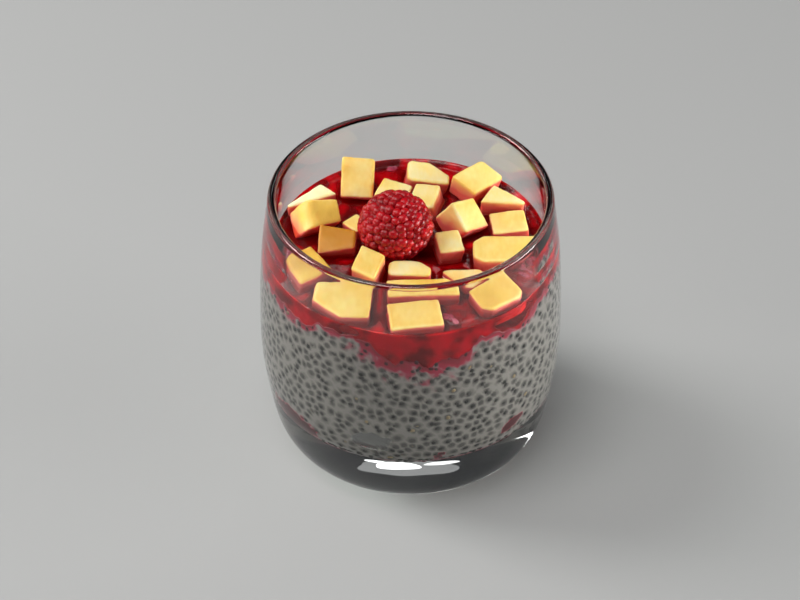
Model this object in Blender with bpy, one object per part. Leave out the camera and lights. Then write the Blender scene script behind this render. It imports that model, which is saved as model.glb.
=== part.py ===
"""A chia pudding in a glass tumbler, under a berry sauce with diced mango and one raspberry.

Metres, +Z up. The tumbler stands at the origin, on its foot ring. The front is -Y.
"""

import math
from collections import namedtuple

import bmesh
import bpy
import numpy as np
from mathutils import Vector

MM = 0.001

# Tumbler
GLASS_HEIGHT = 82.5 * MM
RIM_RADIUS = 38.5 * MM
RIM_THICKNESS = 2.4 * MM
FOOT_RING_INNER = 24.0 * MM
FOOT_HOLLOW = 0.8 * MM
BASE_THICKNESS = 14.5 * MM
WALL_TOP = GLASS_HEIGHT - RIM_THICKNESS / 2

# Outer and inner side of the wall, as (radius, height) in mm
OUTER_WALL = [
    (30.0, 0.0), (34.8, 2.5), (38.4, 8.2), (40.6, 18.0), (42.3, 31.0),
    (42.5, 45.0), (41.7, 64.0), (39.7, 81.3),
]
INNER_WALL = [
    (16.0, 14.5), (29.0, 16.2), (35.6, 20.5), (38.0, 28.0), (38.6, 42.0), (38.0, 66.0), (37.3, 81.3),
]
WALL_STEPS = 2
RIM_ANGLES = (30, 60, 90, 120, 150)

# Everything turned about the axis has this many sides, and edges sharper than this stay sharp
SEGMENTS = 56
SHARP_ANGLE = math.radians(35)

# Food inside it, with the gap that is left between neighbouring pieces
GAP = 0.3 * MM
SAUCE_LEVEL = 65.3 * MM
MENISCUS_HEIGHT = 0.8 * MM
MENISCUS_WIDTH = 2.0 * MM
PUDDING_MIDDLE = 57.0 * MM
PUDDING_SIDE_TOP = 50.0 * MM
EDGE_WIDTH = 11.0 * MM

# Rings over the pudding's upper side, as shares of its radius
TOP_RINGS = (0.3, 0.72, 0.8, 0.87, 0.94, 1.0)

# Height of the pudding's edge round the wall, as (degrees from the front towards +X, height)
PUDDING_EDGE = [
    (-180, 61.0), (-165, 59.5), (-150, 61.5), (-135, 60.0), (-120, 62.0), (-105, 61.5), (-90, 62.5),
    (-76, 61.5), (-60, 61.3), (-46, 59.8), (-39, 62.8), (-25, 63.0), (-17, 62.2), (-12, 59.0), (-6, 56.0),
    (-2, 57.3), (3, 56.3), (7, 53.5), (10, 56.3), (17, 56.5), (23, 58.0), (28, 61.2), (36, 61.5),
    (43, 59.5), (48, 57.8), (55, 61.2), (61, 63.0), (72, 64.0), (84, 64.0), (100, 62.5), (120, 61.0),
    (135, 62.5), (150, 60.0), (165, 61.5), (180, 61.0),
]

# Raspberry: a core with drupelets set on it in rings, from a little above its flat base to its tip
BERRY_PLACE = Vector((-4.2 * MM, 0.0, 72.3 * MM))
BERRY_RADIUS = 9.0 * MM
BERRY_HALF_HEIGHT = 8.1 * MM
BERRY_BASE = 64.6 * MM
DRUPELET_RADIUS = 1.95 * MM
DRUPELET_SPACING = 3.4 * MM
ROW_SPACING = 0.9 * DRUPELET_SPACING
LOWEST_ROW = 0.1

# Mango: each piece is cut along, across and down, in mm, and lies with the middle of its top face at
# (x, y, top). It is turned about the vertical, tipped towards its own front and leaned to its own
# right, in degrees. Its knife cuts are rarely square: narrow is the share of its width left at the
# right end, cut from the back or, if negative, from the front. skew slides its front to the right.
# slip is how far its foot stands out to the right, and chops are the lengths cut off its corners,
# from the front left one round to the back left one. cheek is the radius of a left edge that was
# the round outside of the fruit.
Dice = namedtuple(
    "Dice",
    "x y top along across down turn tip lean narrow skew slip chops cheek",
    defaults=(0, 0, 0, 1.0, 0.0, 0.0, (0, 0, 0, 0), 0.0),
)

MANGO = [
    Dice(-15.1, 23.7, 70.5, 9.4, 12.4, 5.0, turn=-3, tip=38, narrow=0.95),
    Dice(5.1, 27.9, 69.2, 12.2, 8.6, 6.5, turn=-3, tip=3, lean=6, slip=-0.6, chops=(1.5, 0, 6, 1)),
    Dice(-4.9, 19.3, 69.5, 8.9, 8.4, 6.5, turn=-21, lean=4),
    Dice(3.6, 17.0, 69.5, 7.4, 10.0, 6.5, turn=-14, tip=3, lean=-5, slip=1.0),
    Dice(19.1, 24.6, 70.2, 12.2, 9.4, 6.0, turn=45, tip=8, lean=4, slip=-0.8, chops=(0, 1, 1, 0)),
    Dice(27.6, 17.3, 69.7, 12.4, 8.2, 6.0, turn=-5, narrow=0.15, skew=-3.4, slip=-0.6),
    Dice(16.7, 6.7, 70.7, 9.2, 9.6, 9.2, turn=32, tip=33, lean=19),
    Dice(27.4, 7.5, 67.7, 10.2, 9.6, 5.5, turn=7, lean=-3),
    Dice(10.9, -3.4, 69.5, 7.0, 8.8, 6.0, turn=12, tip=4, slip=-0.8),
    Dice(27.0, -6.2, 69.2, 19.6, 11.2, 6.0, turn=1, chops=(2.5, 8, 1, 3)),
    Dice(15.5, -14.9, 66.9, 8.8, 11.6, 4.5, turn=42, chops=(1.5, 1, 7.5, 0)),
    Dice(-0.2, -13.9, 68.4, 12.0, 6.4, 6.0, turn=-3, chops=(1, 1, 3.5, 1.5)),
    Dice(-11.8, -13.7, 70.5, 8.2, 9.6, 7.0, turn=-36, tip=5, skew=3.2),
    Dice(-20.6, -3.2, 69.0, 10.6, 9.6, 6.0, turn=-14, tip=20, narrow=-0.62, skew=1.6),
    Dice(-15.2, 7.1, 67.6, 6.2, 6.2, 4.5, turn=45),
    Dice(-24.3, 8.1, 69.9, 10.0, 10.0, 7.2, turn=12, tip=18, lean=12, narrow=-0.78, slip=-3.0, cheek=2.5),
    Dice(-27.9, 16.0, 68.7, 14.0, 6.8, 4.5, turn=-133, narrow=0.16),
    Dice(-28.6, -12.6, 68.5, 10.0, 12.4, 6.0, turn=32, lean=-4, slip=-0.6, chops=(0, 0, 0, 1.8)),
    Dice(-18.5, -26.2, 67.6, 16.0, 13.2, 5.5, turn=-4, chops=(8.5, 0, 1.5, 0), cheek=1.5),
    Dice(3.4, -21.7, 68.0, 20.0, 7.6, 5.5, turn=3, chops=(0, 0, 3.5, 0)),
    Dice(1.2, -31.6, 67.1, 14.4, 10.0, 5.0, turn=8),
    Dice(23.0, -22.8, 67.3, 13.4, 9.2, 5.5, turn=37, skew=-1.6, chops=(2.5, 2, 0, 0)),
]

# Softened edges, the width of a piece's foot as a share of its top, how far a chopped corner runs
# across as a share of how far it runs along, the steps of a round edge, and how much further than
# the gap the room cut for a piece reaches at its corners
EDGE_BEVEL = 0.4 * MM
FOOT_SHARE = 0.96
CHOP_ACROSS = 0.8
CHEEK_STEPS = 3
CORNER_REACH = 1.5


def clear_scene():
    for obj in list(bpy.data.objects):
        bpy.data.objects.remove(obj, do_unlink=True)


def make_material(name, colour, roughness, transmission=0.0):
    material = bpy.data.materials.new(name)
    material.use_nodes = True
    shader = material.node_tree.nodes["Principled BSDF"]
    shader.inputs["Base Color"].default_value = (*colour, 1.0)
    shader.inputs["Roughness"].default_value = roughness
    shader.inputs["Transmission Weight"].default_value = transmission
    material.diffuse_color = (*colour, 1.0)
    return material


def add_object(name, mesh_maker, material, location=(0.0, 0.0, 0.0)):
    """An object whose mesh mesh_maker has filled, with its faces turned outwards."""
    mesh = bpy.data.meshes.new(name)
    bm = bmesh.new()
    mesh_maker(bm)
    bmesh.ops.recalc_face_normals(bm, faces=bm.faces)
    bm.to_mesh(mesh)
    bm.free()
    mesh.materials.append(material)
    mesh.shade_smooth()
    mesh.set_sharp_from_angle(angle=SHARP_ANGLE)
    obj = bpy.data.objects.new(name, mesh)
    obj.location = location
    bpy.context.collection.objects.link(obj)
    return obj


def smooth_line(points, steps):
    """A Catmull-Rom curve through points, with this many steps between each two."""
    points = np.array(points, float)
    ends = np.vstack([2 * points[0] - points[1], points, 2 * points[-1] - points[-2]])
    line = []
    for before, start, end, after in zip(ends, ends[1:], ends[2:], ends[3:]):
        for share in np.arange(steps) / steps:
            swing = (2 * start) + (end - before) * share
            swing += (2 * before - 5 * start + 4 * end - after) * share**2
            swing += (3 * start - before - 3 * end + after) * share**3
            line.append(swing / 2)
    line.append(points[-1])
    return np.array(line)


def ring_of(radius, height):
    """Points of a ring. height is a number, or a function of the angle from the front."""
    ring = []
    for angle in np.linspace(-math.pi, math.pi, SEGMENTS, endpoint=False):
        level = height(angle) if callable(height) else height
        ring.append((radius * math.sin(angle), -radius * math.cos(angle), level))
    return ring


def skin_rings(bm, rings, start_height, end_height):
    """Skins a stack of rings, and closes it with a point on the axis at each end.

    Each facet is split the same way whether the rings run outwards or inwards, so that two skins
    over the same rings never cross.
    """
    loops = [[bm.verts.new(point) for point in ring] for ring in rings]
    for lower, upper in zip(loops, loops[1:]):
        for a, b, c, d in zip(lower, lower[1:] + lower[:1], upper[1:] + upper[:1], upper):
            widens = a.co.xy.length < d.co.xy.length
            for corners in ((a, b, c), (a, c, d)) if widens else ((a, b, d), (b, c, d)):
                bm.faces.new(corners)
    for loop, height in ((loops[0], start_height), (loops[-1], end_height)):
        pole = bm.verts.new((0.0, 0.0, height))
        for a, b in zip(loop, loop[1:] + loop[:1]):
            bm.faces.new((pole, a, b))


def inner_wall_line():
    return smooth_line(np.array(INNER_WALL) * MM, WALL_STEPS)


def inner_radius(height):
    line = inner_wall_line()
    return float(np.interp(height, line[:, 1], line[:, 0]))


def glass_mesh(bm):
    outer = np.array(OUTER_WALL) * MM
    rim = []
    for angle in np.radians(RIM_ANGLES):
        rim_offset = RIM_THICKNESS / 2 * np.array([math.cos(angle), math.sin(angle)])
        rim.append(np.array([RIM_RADIUS, WALL_TOP]) + rim_offset)
    inner = inner_wall_line()[::-1]
    foot = [(FOOT_RING_INNER - FOOT_HOLLOW, FOOT_HOLLOW), (FOOT_RING_INNER, 0.0)]
    profile = [*foot, *outer, *rim, *inner]
    rings = [ring_of(radius, height) for radius, height in profile]
    skin_rings(bm, rings, FOOT_HOLLOW, BASE_THICKNESS)


def pudding_edge(angle):
    degrees, heights = zip(*PUDDING_EDGE)
    return float(np.interp(math.degrees(angle), degrees, heights)) * MM


def pudding_top(radius, angle):
    """Height of the pudding's upper side: level in the middle, and rising or dipping to its edge."""
    wall = inner_radius(PUDDING_MIDDLE)
    share = min(max((radius - wall + EDGE_WIDTH) / EDGE_WIDTH, 0.0), 1.0)
    ease = share * share * (3 - 2 * share)
    return PUDDING_MIDDLE + (pudding_edge(angle) - PUDDING_MIDDLE) * ease


def top_rings(lift):
    """Rings over the pudding's upper side, from the middle out, raised by lift."""
    wall = inner_radius(PUDDING_MIDDLE) - GAP
    rings = []
    for share in TOP_RINGS:
        radius = share * wall
        rings.append(ring_of(radius, lambda angle, r=radius: pudding_top(r, angle) + lift))
    return rings


def pudding_mesh(bm):
    side = [point for point in inner_wall_line() if point[1] < PUDDING_SIDE_TOP]
    floor = BASE_THICKNESS + GAP
    rings = [ring_of(radius - GAP, max(height + GAP, floor)) for radius, height in side]
    rings += reversed(top_rings(0.0))
    skin_rings(bm, rings, floor, PUDDING_MIDDLE)


def sauce_mesh(bm):
    wall = inner_radius(SAUCE_LEVEL) - GAP
    rings = top_rings(GAP)
    rings.append(ring_of(wall, SAUCE_LEVEL + MENISCUS_HEIGHT))
    rings.append(ring_of(wall - MENISCUS_WIDTH / 2, SAUCE_LEVEL + MENISCUS_HEIGHT / 4))
    rings.append(ring_of(wall - MENISCUS_WIDTH, SAUCE_LEVEL))
    skin_rings(bm, rings, PUDDING_MIDDLE + GAP, SAUCE_LEVEL)


def dice_outline(dice):
    """Corners of a piece's top face, from the front left one round to the back left one."""
    corners = []
    for right, back, chop in zip((-1, 1, 1, -1), (-1, -1, 1, 1), dice.chops):
        x = right * dice.along / 2
        y = back * dice.across / 2
        if right > 0 and back == math.copysign(1, dice.narrow):
            y -= back * dice.across * (1 - abs(dice.narrow))
        beside = (x - right * chop, y)
        below = (x, y - back * chop * CHOP_ACROSS)
        corners += [below, beside] if right == back else [beside, below]
        if not chop:
            corners.pop()
    return [Vector((x - dice.skew * y / dice.across, y, 0.0)) * MM for x, y in corners]


def dice_mesh(bm, dice, grow=0.0):
    """A piece of mango, or with grow the plain block that leaves a gap all round it."""
    slip = Vector((dice.slip, 0.0, -dice.down)) * MM
    outline = [corner + corner.normalized() * grow * CORNER_REACH for corner in dice_outline(dice)]
    top = [bm.verts.new(corner + Vector((0, 0, grow))) for corner in outline]
    foot = [bm.verts.new(corner * FOOT_SHARE + slip - Vector((0, 0, grow))) for corner in outline]
    bm.faces.new(top)
    bm.faces.new(foot[::-1])
    for a, b, c, d in zip(top, top[1:] + top[:1], foot[1:] + foot[:1], foot):
        bm.faces.new((a, b, c, d))
    bmesh.ops.recalc_face_normals(bm, faces=bm.faces)
    if grow:
        return
    if dice.cheek:
        bevel_edges(bm, left_top_edges(bm, dice), dice.cheek * MM, CHEEK_STEPS)
    sharp = [edge for edge in bm.edges if edge.calc_face_angle() > SHARP_ANGLE]
    bevel_edges(bm, sharp, EDGE_BEVEL, 1)


def left_top_edges(bm, dice):
    """The edges of the top face that lie wholly in its left quarter."""
    limit = -dice.along * MM / 4
    found = []
    for edge in bm.edges:
        if all(vert.co.z == 0 and vert.co.x < limit for vert in edge.verts):
            found.append(edge)
    return found


def bevel_edges(bm, edges, width, steps):
    bmesh.ops.bevel(bm, geom=edges, offset=width, segments=steps, profile=0.5, affect="EDGES")


def lay_down(obj, dice):
    obj.location = Vector((dice.x, dice.y, dice.top)) * MM
    obj.rotation_mode = "YXZ"
    obj.rotation_euler = [math.radians(angle) for angle in (dice.tip, dice.lean, dice.turn)]


def dome_point(height_share, angle):
    """A point on the raspberry's core, height_share from -1 at the lowest to 1 at the tip."""
    radius = BERRY_RADIUS * math.sqrt(max(1 - height_share**2, 0.0))
    level = BERRY_HALF_HEIGHT * height_share
    return Vector((radius * math.cos(angle), radius * math.sin(angle), level))


def drupelet_places():
    """Centres of the drupelets, in rings from the base up to the tip."""
    places = []
    lowest = math.asin((BERRY_BASE - BERRY_PLACE.z) / BERRY_HALF_HEIGHT) + LOWEST_ROW
    rows = round((math.pi / 2 - lowest) * BERRY_HALF_HEIGHT / ROW_SPACING)
    for row in range(rows + 1):
        slope = lowest + (math.pi / 2 - lowest) * row / rows
        around = max(round(2 * math.pi * BERRY_RADIUS * math.cos(slope) / DRUPELET_SPACING), 1)
        for step in range(around):
            angle = 2 * math.pi * (step + 0.5 * (row % 2)) / around
            places.append(dome_point(math.sin(slope), angle))
    return places


def core_mesh(bm):
    bmesh.ops.create_uvsphere(bm, u_segments=20, v_segments=12, radius=1.0)
    bmesh.ops.scale(bm, vec=(BERRY_RADIUS, BERRY_RADIUS, BERRY_HALF_HEIGHT), verts=bm.verts)
    base = Vector((0.0, 0.0, BERRY_BASE - BERRY_PLACE.z))
    whole = [*bm.verts, *bm.edges, *bm.faces]
    down = (0.0, 0.0, -1.0)
    cut = bmesh.ops.bisect_plane(bm, geom=whole, plane_co=base, plane_no=down, clear_outer=True)
    rim = [part for part in cut["geom_cut"] if isinstance(part, bmesh.types.BMEdge)]
    bmesh.ops.contextual_create(bm, geom=rim)


def drupelet_mesh(bm):
    bmesh.ops.create_uvsphere(bm, u_segments=8, v_segments=5, radius=DRUPELET_RADIUS)


def make_raspberry(material):
    """The core and its drupelets, joined into one solid."""
    berry = add_object("raspberry", core_mesh, material, BERRY_PLACE)
    drupelets = bpy.data.collections.new("drupelets")
    bpy.context.scene.collection.children.link(drupelets)
    for number, place in enumerate(drupelet_places()):
        drupelet = add_object(f"drupelet_{number:02d}", drupelet_mesh, material, BERRY_PLACE + place)
        drupelet.rotation_euler = place.to_track_quat("Z", "Y").to_euler()
        bpy.context.collection.objects.unlink(drupelet)
        drupelets.objects.link(drupelet)
    join_with(berry, drupelets)
    return berry


def join_with(obj, collection):
    union = obj.modifiers.new("union", "BOOLEAN")
    union.operation = "UNION"
    union.operand_type = "COLLECTION"
    union.collection = collection
    union.solver = "MANIFOLD"
    apply_modifiers(obj)
    for part in list(collection.objects):
        bpy.data.objects.remove(part, do_unlink=True)
    bpy.data.collections.remove(collection)


def apply_modifiers(obj):
    """Replaces the object's mesh by what its modifiers make of it."""
    bpy.context.view_layer.update()
    evaluated = obj.evaluated_get(bpy.context.evaluated_depsgraph_get())
    mesh = bpy.data.meshes.new_from_object(evaluated)
    obj.modifiers.clear()
    obj.data = mesh


def cut_with(obj, cutters):
    cut = obj.modifiers.new("cut", "BOOLEAN")
    cut.operation = "DIFFERENCE"
    cut.operand_type = "COLLECTION"
    cut.collection = cutters
    cut.solver = "EXACT"
    apply_modifiers(obj)
    keep_largest(obj.data)


def keep_largest(mesh):
    """Drops the loose scraps that a cut leaves."""
    bm = bmesh.new()
    bm.from_mesh(mesh)
    left = set(bm.faces)
    pieces = []
    while left:
        piece = {left.pop()}
        edge_of_piece = list(piece)
        while edge_of_piece:
            face = edge_of_piece.pop()
            beside = {other for edge in face.edges for other in edge.link_faces} & left
            left -= beside
            piece |= beside
            edge_of_piece += beside
        pieces.append(piece)
    pieces.sort(key=len)
    scraps = [face for piece in pieces[:-1] for face in piece]
    bmesh.ops.delete(bm, geom=scraps, context="FACES")
    bm.to_mesh(mesh)
    bm.free()


def make_cutters(material):
    """Blocks a gap larger than each piece, which leave room for it in the sauce and the pudding."""
    cutters = bpy.data.collections.new("room")
    bpy.context.scene.collection.children.link(cutters)
    for number, dice in enumerate(MANGO, 1):
        block = add_object(f"room_{number:02d}", lambda bm, d=dice: dice_mesh(bm, d, GAP), material)
        lay_down(block, dice)
        bpy.context.collection.objects.unlink(block)
        cutters.objects.link(block)
    room = add_object("room_raspberry", core_mesh, material, BERRY_PLACE)
    room.scale = [1 + (DRUPELET_RADIUS + 2 * GAP) / BERRY_RADIUS] * 3
    bpy.context.collection.objects.unlink(room)
    cutters.objects.link(room)
    return cutters


def main():
    clear_scene()
    clear_glass = make_material("clear_glass", (0.95, 0.97, 0.96), 0.02, transmission=1.0)
    pudding_matter = make_material("chia_pudding", (0.48, 0.46, 0.44), 0.5)
    sauce_matter = make_material("berry_sauce", (0.35, 0.0, 0.01), 0.15)
    mango_flesh = make_material("mango_flesh", (0.95, 0.66, 0.20), 0.4)
    raspberry_skin = make_material("raspberry_skin", (0.30, 0.01, 0.02), 0.35)
    add_object("glass", glass_mesh, clear_glass)
    pudding = add_object("chia_pudding", pudding_mesh, pudding_matter)
    sauce = add_object("berry_sauce", sauce_mesh, sauce_matter)
    make_raspberry(raspberry_skin)
    for number, dice in enumerate(MANGO, 1):
        piece = add_object(f"mango_{number:02d}", lambda bm, d=dice: dice_mesh(bm, d), mango_flesh)
        lay_down(piece, dice)
    cutters = make_cutters(mango_flesh)
    cut_with(sauce, cutters)
    cut_with(pudding, cutters)
    for block in list(cutters.objects):
        bpy.data.objects.remove(block, do_unlink=True)
    bpy.data.collections.remove(cutters)


main()
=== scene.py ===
"""The look of the chia pudding: a glass tumbler of milky pudding full of seeds, under a layer of
berry sauce with diced mango and one raspberry. +Z is up and the front is -Y. Sizes are in
millimetres, times MM where Blender takes metres. Only the floor's size, the lamps and the
camera's distance are given in metres.
"""

import math

import bpy
import numpy as np
from mathutils import Matrix, Vector, bvhtree, kdtree, noise


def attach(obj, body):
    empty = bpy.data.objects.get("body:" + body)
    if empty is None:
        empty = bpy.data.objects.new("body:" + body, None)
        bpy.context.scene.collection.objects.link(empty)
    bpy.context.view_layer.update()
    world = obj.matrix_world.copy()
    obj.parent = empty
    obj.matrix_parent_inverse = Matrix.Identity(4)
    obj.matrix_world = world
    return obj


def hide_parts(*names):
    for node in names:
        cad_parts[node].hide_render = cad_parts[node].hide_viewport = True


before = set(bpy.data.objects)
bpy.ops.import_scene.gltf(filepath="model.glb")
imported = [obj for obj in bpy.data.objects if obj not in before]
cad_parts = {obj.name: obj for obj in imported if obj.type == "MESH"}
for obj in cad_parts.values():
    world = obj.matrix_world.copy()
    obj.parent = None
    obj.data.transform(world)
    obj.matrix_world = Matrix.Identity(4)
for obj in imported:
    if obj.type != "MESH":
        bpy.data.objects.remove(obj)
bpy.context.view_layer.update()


# The tumbler
# Soda-lime glass, blown into a mould with a thick, heavy base, and then fire-polished, which melts
# the rim round. It stands on a narrow ring round a shallow hollow in its underside.
MM = 0.001
GLASS_HEIGHT = 82.5
RIM_RADIUS = 38.5
RIM_THICKNESS = 2.4
BASE_THICKNESS = 14.5
GLASS_FACETS = 160
CURVE_STEPS = 8
# Lines of (radius, height): the hollow and the foot's ring, then the wall outside and inside
FOOT_LINE = [(0.0, 0.8), (12.0, 0.8), (22.0, 0.8), (23.0, 0.6), (23.8, 0.15), (24.6, 0.0), (28.8, 0.0)]
OUTER_WALL = [
    (30.0, 0.1), (34.8, 2.5), (38.4, 8.2), (40.6, 18.0), (42.3, 31.0),
    (42.5, 45.0), (41.7, 64.0), (39.7, 81.3),
]
INNER_WALL = [
    (16.0, 14.5), (29.0, 16.2), (35.6, 20.5), (38.0, 28.0), (38.6, 42.0), (38.0, 66.0), (37.3, 81.3),
]


def smooth_line(points, steps):
    """A Catmull-Rom curve through points, with this many steps between each two."""
    points = np.array(points, float)
    ends = np.vstack([2 * points[0] - points[1], points, 2 * points[-1] - points[-2]])
    line = []
    for before, start, end, after in zip(ends, ends[1:], ends[2:], ends[3:]):
        for share in np.arange(steps) / steps:
            swing = (2 * start) + (end - before) * share
            swing += (2 * before - 5 * start + 4 * end - after) * share**2
            swing += (3 * start - before - 3 * end + after) * share**3
            line.append(swing / 2)
    line.append(points[-1])
    return np.array(line)


def spin_profile(name, profile, steps):
    """A closed round body: a line of (radius, height) in mm from the axis, up the outside and back
    to the axis, spun once round it."""
    bpy.ops.object.select_all(action="DESELECT")
    bpy.ops.mesh.primitive_plane_add(size=MM)
    piece = bpy.context.object
    piece.name = piece.data.name = name
    bpy.ops.object.mode_set(mode="EDIT")
    bpy.ops.mesh.merge(type="CENTER")
    points = [Vector((radius, 0.0, height)) * MM for radius, height in profile]
    bpy.ops.transform.translate(value=points[0])
    for before, after in zip(points, points[1:]):
        bpy.ops.mesh.extrude_region_move(TRANSFORM_OT_translate={"value": after - before})
    bpy.ops.mesh.select_all(action="SELECT")
    bpy.ops.mesh.spin(steps=steps, angle=2 * math.pi, center=(0, 0, 0), axis=(0, 0, 1))
    bpy.ops.mesh.select_all(action="SELECT")
    bpy.ops.mesh.remove_doubles(threshold=0.002 * MM)
    bpy.ops.mesh.normals_make_consistent(inside=False)
    bpy.ops.object.mode_set(mode="OBJECT")
    bpy.ops.object.shade_smooth()
    return piece


def linear(hex_colour):
    """An sRGB hex colour as a linear one with alpha."""
    parts = [int(hex_colour[i : i + 2], 16) / 255 for i in (1, 3, 5)]
    return (*[p / 12.92 if p <= 0.04045 else ((p + 0.055) / 1.055) ** 2.4 for p in parts], 1.0)


def new_material(name, settings):
    """A material with a Principled shader of these settings, its tree, that shader and the output."""
    material = bpy.data.materials.new(name)
    material.use_nodes = True
    tree = material.node_tree
    shader = tree.nodes["Principled BSDF"]
    for key, value in settings.items():
        shader.inputs[key].default_value = value
    return material, tree, shader, tree.nodes["Material Output"]


def add_node(tree, kind, settings=None, links=None, stops=()):
    """Adds a node. settings gives values to its inputs or properties, links feeds its inputs, and
    stops are a colour ramp's positions and colours, from its start on."""
    node = tree.nodes.new(kind)
    for key, value in (settings or {}).items():
        if isinstance(key, int) or key in node.inputs:
            node.inputs[key].default_value = value
        else:
            setattr(node, key, value)
    for key, socket in (links or {}).items():
        tree.links.new(socket, node.inputs[key])
    for number, (position, colour) in enumerate(stops):
        ramp = node.color_ramp.elements
        stop = ramp[number] if number < len(ramp) else ramp.new(position)
        stop.position = position
        stop.color = linear(colour)
    return node


outer_line = smooth_line(OUTER_WALL, CURVE_STEPS)
inner_line = smooth_line(INNER_WALL, CURVE_STEPS)
half_rim = RIM_THICKNESS / 2
rim_line = []
for angle in np.radians(np.arange(15, 180, 15)):
    rim_line.append((RIM_RADIUS + half_rim * math.cos(angle),
                     GLASS_HEIGHT - half_rim + half_rim * math.sin(angle)))
glass_profile = [*FOOT_LINE, *outer_line, *rim_line, *inner_line[::-1], (0.0, BASE_THICKNESS)]
tumbler = spin_profile("tumbler", glass_profile, GLASS_FACETS)

# Clear soda-lime glass, polished by the flame: an IOR of 1.52, no roughness, and a faint waviness
# some 15 mm long left by the mould. Lamps shine straight through it.
MOULD_WAVE = 15.0
glass, tree, shader, output = new_material("clear_soda_lime_glass", {
    "Base Color": linear("#FBFDFC"), "Transmission Weight": 1.0, "Roughness": 0.0, "IOR": 1.52})
place = add_node(tree, "ShaderNodeTexCoord")
waves = add_node(tree, "ShaderNodeTexNoise", {"Scale": 1 / (MOULD_WAVE * MM), "Detail": 1.0},
                 {"Vector": place.outputs["Object"]})
ripple = add_node(tree, "ShaderNodeBump", {"Strength": 0.12, "Distance": 0.3 * MM},
                  {"Height": waves.outputs["Fac"]})
tree.links.new(ripple.outputs["Normal"], shader.inputs["Normal"])
lamps = add_node(tree, "ShaderNodeLightPath")
let_through = add_node(tree, "ShaderNodeBsdfTransparent", {"Color": linear("#F4F8F6")})
both = add_node(tree, "ShaderNodeMixShader", links={
    0: lamps.outputs["Is Shadow Ray"], 1: shader.outputs[0], 2: let_through.outputs[0]})
tree.links.new(both.outputs[0], output.inputs["Surface"])
tumbler.data.materials.append(glass)
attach(tumbler, "root")
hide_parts("glass")


# The chia pudding and its seeds
# Seeds soaked overnight in milk, which swell and set it to a soft, milky gel. It was spooned in, so
# its upper edge is ragged round the wall. It reaches just into the wall, as what it wets has no gap.
REACH = 0.12
PUDDING_MIDDLE = 57.0
EDGE_WIDTH = 11.0
PUDDING_FACETS = 440
# Height of the edge on the wall, by degrees from the front towards +X
PUDDING_EDGE = [
    (-180, 61.0), (-165, 59.5), (-150, 61.5), (-135, 60.0), (-120, 62.0), (-105, 61.5), (-90, 62.5),
    (-76, 61.5), (-60, 61.3), (-46, 59.8), (-39, 62.8), (-25, 63.0), (-17, 62.2), (-12, 59.0), (-6, 56.0),
    (-2, 57.3), (3, 56.3), (7, 53.5), (10, 56.3), (17, 56.5), (23, 58.0), (28, 61.2), (36, 61.5),
    (43, 59.5), (48, 57.8), (55, 61.2), (61, 63.0), (72, 64.0), (84, 64.0), (100, 62.5), (120, 61.0),
    (135, 62.5), (150, 60.0), (165, 61.5), (180, 61.0),
]


def wall_at(heights):
    """The glass's inner radius at these heights."""
    return np.interp(heights, inner_line[:, 1], inner_line[:, 0])


def floor_at(radius):
    """Height of the glass's inner floor at this radius."""
    inner_floor = inner_line[: 5 * CURVE_STEPS // 2]
    return float(np.interp(radius, inner_floor[:, 0], inner_floor[:, 1]))


WALL_RADIUS = float(wall_at(PUDDING_MIDDLE))


def noise_at(points, size, seed=0.0):
    """Smooth noise between -1 and 1 at points in mm, with bumps about size mm across."""
    shift = Vector((seed * 17.3, seed * 5.1, seed * 9.7))
    return np.array([noise.noise(Vector(point) / size + shift) for point in points])


def ease(value, start, end):
    """0 before start and 1 after end, with a soft step between them."""
    share = np.clip((np.asarray(value, float) - start) / (end - start), 0.0, 1.0)
    return share * share * (3 - 2 * share)


def points_of(piece):
    """The mesh's points in mm."""
    points = np.empty(len(piece.data.vertices) * 3)
    piece.data.vertices.foreach_get("co", points)
    return points.reshape(-1, 3) / MM


def put_points(piece, points):
    """Moves the mesh's points to these places in mm."""
    piece.data.vertices.foreach_set("co", (points * MM).ravel())
    piece.data.update()


def store(piece, name, values):
    """Keeps one number for each point of the mesh, for the material to read."""
    kept = piece.data.attributes.new(name, "FLOAT", "POINT")
    kept.data.foreach_set("value", np.asarray(values, np.float32))


def from_front(points):
    """Each point's angle about the axis, in degrees from the front towards +X."""
    return np.degrees(np.arctan2(points[:, 0], -points[:, 1]))


def pudding_edge(points):
    """Height of the pudding's ragged edge on the wall, in the direction of each point."""
    degrees, heights = zip(*PUDDING_EDGE)
    angles = np.radians(from_front(points))
    round_wall = np.stack([np.sin(angles), np.cos(angles), np.zeros_like(angles)], axis=1) * WALL_RADIUS
    lumps = 1.0 * noise_at(round_wall, 2.8) + 0.8 * noise_at(round_wall, 1.3, 2.0)
    return np.interp(from_front(points), degrees, heights) + lumps


def pudding_top(points):
    """Height of the pudding's upper side: level in the middle, rising or dipping to its edge."""
    share = ease(np.hypot(points[:, 0], points[:, 1]), WALL_RADIUS - EDGE_WIDTH, WALL_RADIUS)
    flat = points * (1, 1, 0)
    lumps = 0.35 * noise_at(flat, 2.6, 1.0) * (1 - share)
    return PUDDING_MIDDLE + lumps + (pudding_edge(points) - PUDDING_MIDDLE) * share


def lay_out(points, radii, heights):
    """Points moved to these radii and heights, each in its own direction from the axis."""
    now = np.hypot(points[:, 0], points[:, 1])
    grow = np.where(now > 1e-6, radii / np.maximum(now, 1e-6), 1.0)
    return np.stack([points[:, 0] * grow, points[:, 1] * grow, heights], axis=1)


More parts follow.
